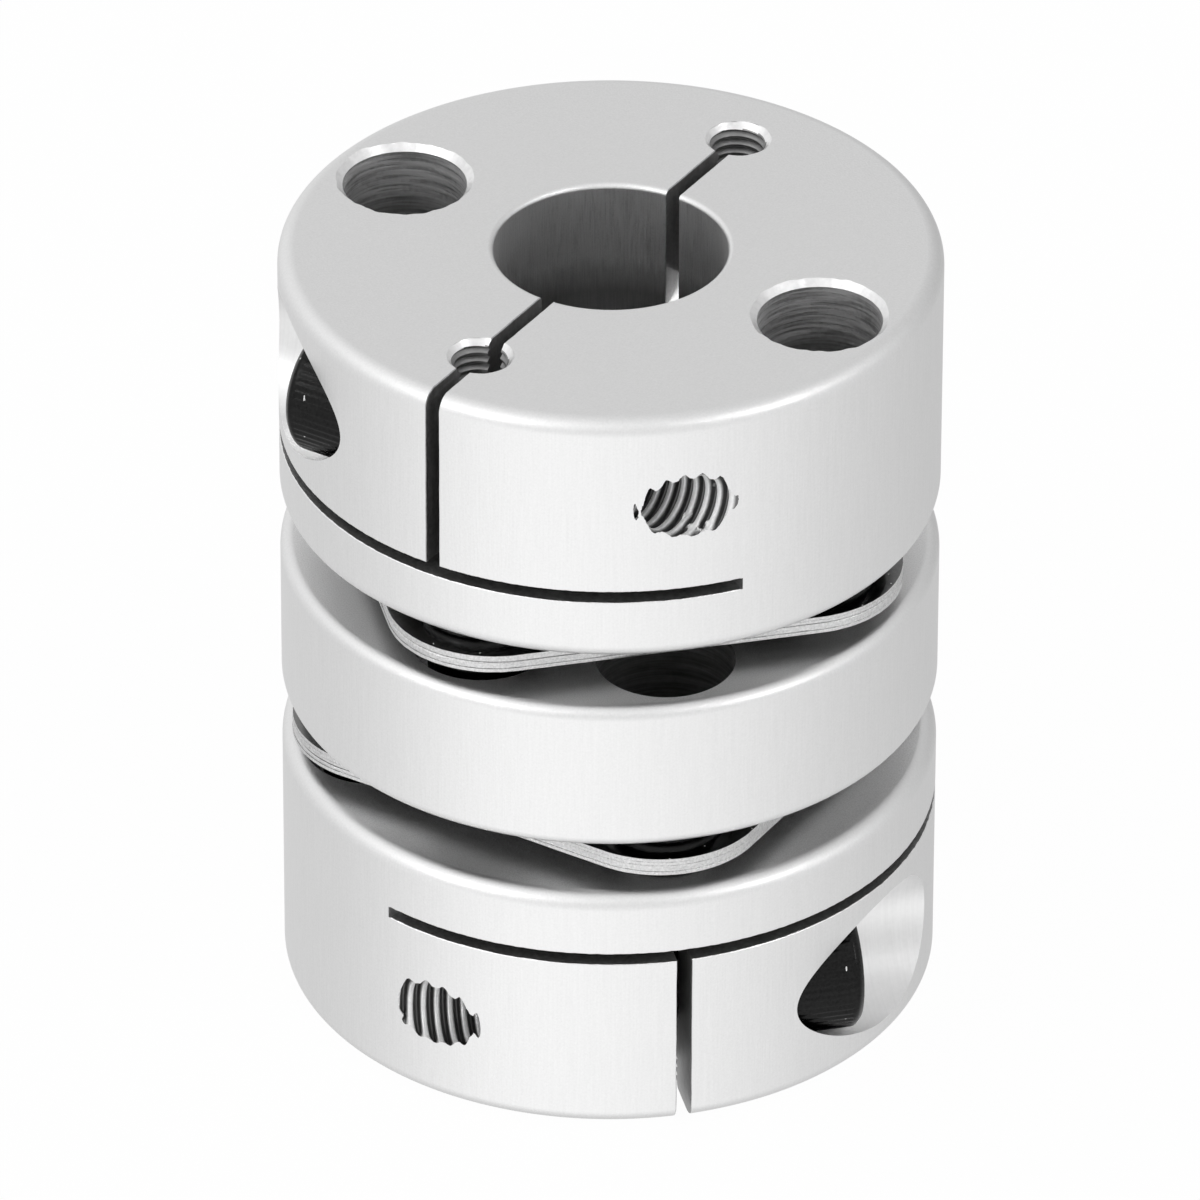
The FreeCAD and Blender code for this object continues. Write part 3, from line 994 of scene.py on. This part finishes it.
# %% Socket head screws
def socket_screw(name, sizes, columns, knurls, offset, spin, matrix, shift):
    """A screw whose head stands on z = 0. sizes is thread, pitch, length, head, height, hexagon, socket."""
    thread, pitch, length, head, height, hexagon, socket = sizes
    angles = circle_angles(columns)
    turned = angles + TURN * spin / columns
    corner = hexagon / math.sqrt(3)
    six = hexagon / 2 / np.cos(np.mod(turned, TURN / 6) - TURN / 12)
    groove = 1 - np.abs(2 * np.mod(knurls * turned / TURN, 1) - 1)
    deep = 0.032 * head / 2
    floor = height - socket
    rows = [(0.5 * six, floor - 0.25), (0.93 * six, floor), (six, floor + 0.02), (six, height - 0.14)]
    rows += [(np.maximum(six, corner * 0.99), height - 0.02), (corner + 0.06, height)]
    rows += [(head - 0.42, height), (head - 0.34, height - 0.03)]
    rows += [(head - 0.1, height - 0.27), (head - 0.04, height - 0.36)]
    for share, z in ((0, height - 0.48), (0, height - 0.56), (0.6, height - 0.62), (1, height - 0.7),
                     (1, 0.3), (0.4, 0.2), (0, 0.12)):
        rows.append((head - 0.02 - deep * share * groove, z))
    rows += [(head - 0.08, 0.03), (head - 0.16, 0.0), (thread + 0.08, 0.0)]
    core = thread - 0.54 * pitch
    steps = int(round(length / pitch * 9))
    for z in np.linspace(-0.1, -length, steps):
        r = thread_wave(np.mod((z + offset) / pitch - angles / TURN, 1.0), core, thread)
        r = core + (r - core) * np.clip(-z / 0.5, 0, 1)
        rows.append((np.minimum(r, thread - 0.4 + z + length), z))
    points = np.stack([lathe_points(np.atleast_2d(r), np.array([[z]]), angles)[0] for r, z in rows])
    points = moved(points, matrix, shift)
    piece = grid_object(name, points, False, True, [black_oxide], caps=True)
    point_outwards(piece)
    return piece


CLAMP = (2.0, 0.7, 12.0, 3.5, 4.0, 3.0, 2.0)
BOLT = (1.5, 0.5, 6.0, 2.75, 3.0, 2.5, 1.3)
clamp_seat = np.array([SEAT, -SCREW_OFFSET, SCREW_HEIGHT])
for hub_name, matrix, shift, start, spin in (("lower", UPRIGHT, np.zeros(3), LOWER_START, 5),
                                             ("upper", UPPER_MATRIX, UPPER_SHIFT, UPPER_START, 23)):
    screw = socket_screw(hub_name + "_clamp_screw_finish", CLAMP, 216, 54, SEAT + start, spin,
                         matrix @ ALONG_X, matrix @ clamp_seat + shift)
    finished(screw, hub_name + "_clamp_screw", 40.0)
print("clamp screw", len(screw.data.polygons), "faces")


def pack_bolts(pack, turn, hub_matrix, hub_shift, ring_face):
    """The four bolts of a pack: two into the hub, made in the hub's own frame, and two into the ring."""
    above = ring_face == RING_TOP
    head_face = UPPER_FACE if above else HUB_LENGTH
    for n in range(4):
        if n % 2 == 0:
            matrix = hub_matrix
            offset = HUB_LENGTH + GAP
            where = matrix @ on_circle(BOLT_CIRCLE, 90 * n, offset) + hub_shift
        else:
            matrix = UPRIGHT if above else UPSIDE_DOWN
            offset = UPPER_FACE - RING_BOTTOM if above else RING_BOTTOM - HUB_LENGTH + 0.25
            where = on_circle(BOLT_CIRCLE, turn + 90 * n, head_face)
        name = f"{pack}_bolt_{n + 1}"
        bolt = socket_screw(name + "_finish", BOLT, 96, 48, offset, 3 + 5 * n, matrix, where)
        finished(bolt, name, 40.0)


pack_bolts("lower", 0.0, UPRIGHT, np.zeros(3), RING_BOTTOM)
pack_bolts("upper", TWIST, UPPER_MATRIX, UPPER_SHIFT, RING_TOP)
print("screws", round(time.time() - started, 1), "s")

# %% [markdown]
# The spacers are turned collars between the leaves and the bolts' heads and seats. Their rims have small
# rounded bevels.


# %% Spacers
def spacer(replaced, at):
    """A collar with bevelled rims, turned about a bolt."""
    rim = 3.0
    bevel = 0.15
    half = [(LEAF_HOLE, 0), (rim - bevel - 0.03, 0), (rim - bevel + 0.02, 0.02), (rim - 0.02, bevel - 0.02),
            (rim, bevel + 0.03)]
    profile = np.array(half + [(r, SPACER - z) for r, z in half[::-1]])
    points = lathe_points(profile[:, :1], profile[:, 1:], circle_angles(96))
    piece = grid_object(replaced + "_finish", moved(points, UPRIGHT, at), True, True, [spacer_painted_dark])
    point_outwards(piece)
    finished(piece, replaced, 50.0)


for pack, turn, low_face in (("lower", 0.0, HUB_LENGTH), ("upper", TWIST, RING_TOP)):
    for n in range(4):
        head_above = (n % 2 == 0) == (pack == "lower")
        kinds = ("seat", "head") if head_above else ("head", "seat")
        for kind, z in zip(kinds, (low_face, low_face + SPACER + 5 * LEAF)):
            spacer(f"{pack}_{kind}_spacer_{n + 1}", on_circle(BOLT_CIRCLE, turn + 90 * n, z))
print("spacers", round(time.time() - started, 1), "s")

# %% [markdown]
# The camera is the photographer's: far away with a long lens, a third of a right angle above the table.
# Its place came from the rims, the slits and the outlines of the hubs.

# %% Camera
AZIMUTH = math.radians(-13.25)
ELEVATION = 0.576669
DISTANCE = 22.3623 * 2 * OUTER_RADIUS
LENS = 14687.5 / 1200 * 36
YAW, PITCH, ROLL = -0.000662, 0.000974, 0.003247


def unit(vector):
    """A vector scaled to length one."""
    return vector / np.linalg.norm(vector)


def heading(azimuth, elevation):
    """The direction at an angle from -Y towards +X, and at a height above the horizon."""
    level = math.cos(elevation)
    return np.array([math.sin(azimuth) * level, -math.cos(azimuth) * level, math.sin(elevation)])


target = np.array([0, 0, 1.2 * OUTER_RADIUS])
back = heading(AZIMUTH, ELEVATION)
right = np.array([math.cos(AZIMUTH), math.sin(AZIMUTH), 0])
up = np.cross(back, right)
ahead = unit(-back + YAW * right + PITCH * up)
right = unit(np.cross(ahead, up))
up = np.cross(right, ahead)
place = np.eye(4)
place[:3, 0] = right * math.cos(ROLL) + up * math.sin(ROLL)
place[:3, 1] = -right * math.sin(ROLL) + up * math.cos(ROLL)
place[:3, 2] = -ahead
place[:3, 3] = (target + DISTANCE * back) * MM
camera = bpy.data.objects.new("camera", bpy.data.cameras.new("camera"))
bpy.context.collection.objects.link(camera)
camera.matrix_world = Matrix(place.tolist())
camera.data.sensor_width = 36
camera.data.lens = LENS
camera.data.clip_start = 0.01
camera.data.clip_end = 10
bpy.context.scene.camera = camera
print("camera", [round(v, 4) for v in camera.location])

# %% [markdown]
# The light is a white tent: an even glow, brightened by soft round lobes where the lamps stand. Each lobe is
# given by its angle from the camera towards the right, its height above the horizon, its strength and how
# tight it is. It fades as the exponential of the tightness times the cosine of the angle to its centre, less
# one. The strengths were fitted, so that the walls, rims and gaps take the photograph's tones. A negative
# one takes light away, as a dark thing in the room does. The last two are small lamps, which make the glints
# on the screws and the leaves.

# %% Light tent
GLOW = 0.649
LOBES = [
    (0, -33, 0.287, 8), (40, -33, 0.208, 8), (-40, -33, 0.35, 8), (-80, -33, 0.021, 8),
    (0, 10, 0.041, 8), (60, 10, 0.091, 8), (-60, 10, 0.088, 8),
    (0, 45, 0.105, 8), (-60, 45, 0.591, 8), (-120, 45, 0.149, 8), (72, 41, 0.3, 14),
    (147, 5, -0.2, 6), (-147, 5, 0.16, 8),
    (-49, 34, 30.0, 900), (57, 36, 30.0, 900),
]
world = bpy.data.worlds.new("light_tent")
bpy.context.scene.world = world
world.use_nodes = True
sky = world.node_tree
sky.nodes.clear()
direction = node(sky, "ShaderNodeTexCoord").outputs["Generated"]
total = GLOW
for azimuth, height, strength, tight in LOBES:
    centre = heading(AZIMUTH + math.radians(azimuth), math.radians(height))
    cosine = vectors(sky, "DOT_PRODUCT", direction, tuple(centre))[1]
    lobe = maths(sky, "EXPONENT", maths(sky, "MULTIPLY_ADD", cosine, tight, -tight))
    total = maths(sky, "MULTIPLY_ADD", lobe, strength, total)
rays = node(sky, "ShaderNodeLightPath").outputs
seen = mixed(sky, "FLOAT", rays["Is Camera Ray"], total, 1.0)
shine = fill(sky, node(sky, "ShaderNodeBackground"), (grey(1), seen))
link(sky, shine.outputs[0], node(sky, "ShaderNodeOutputWorld").inputs["Surface"])
print("lobes", len(LOBES))

# %% [markdown]
# The floor is white paper: the camera sees it almost pure white, with only a trace of the part's shadow, and
# polished metal sees the tent through it.

# %% Floor
bpy.ops.mesh.primitive_plane_add(size=4, location=(0, 0, 0))
floor = bpy.context.object
floor.name = "floor"
floor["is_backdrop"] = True
paper = bpy.data.materials.new("white_paper")
paper.use_nodes = True
tree = paper.node_tree
tree.nodes.clear()
rays = node(tree, "ShaderNodeLightPath").outputs
matt = fill(tree, node(tree, "ShaderNodeBsdfDiffuse"), [grey(0.9)])
glow = node(tree, "ShaderNodeEmission")
clear = node(tree, "ShaderNodeBsdfTransparent")
share = maths(tree, "MULTIPLY", rays["Is Camera Ray"], 0.97)
lit = fill(tree, node(tree, "ShaderNodeMixShader"), (share, matt.outputs[0], glow.outputs[0]))
both = node(tree, "ShaderNodeMixShader")
fill(tree, both, (rays["Is Glossy Ray"], lit.outputs[0], clear.outputs[0]))
link(tree, both.outputs[0], node(tree, "ShaderNodeOutputMaterial").inputs["Surface"])
floor.data.materials.append(paper)
print("floor", floor.name, paper.name)

# %% [markdown]
# Last come the colour management, which keeps the tones as they are written, and the box of the dressed
# part, printed.

# %% Colour, sizes and the end
bpy.context.scene.view_settings.view_transform = "Standard"
dressed_box = [list(corner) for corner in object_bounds()]
print("dressed box", dressed_box, round(time.time() - started, 1), "s")
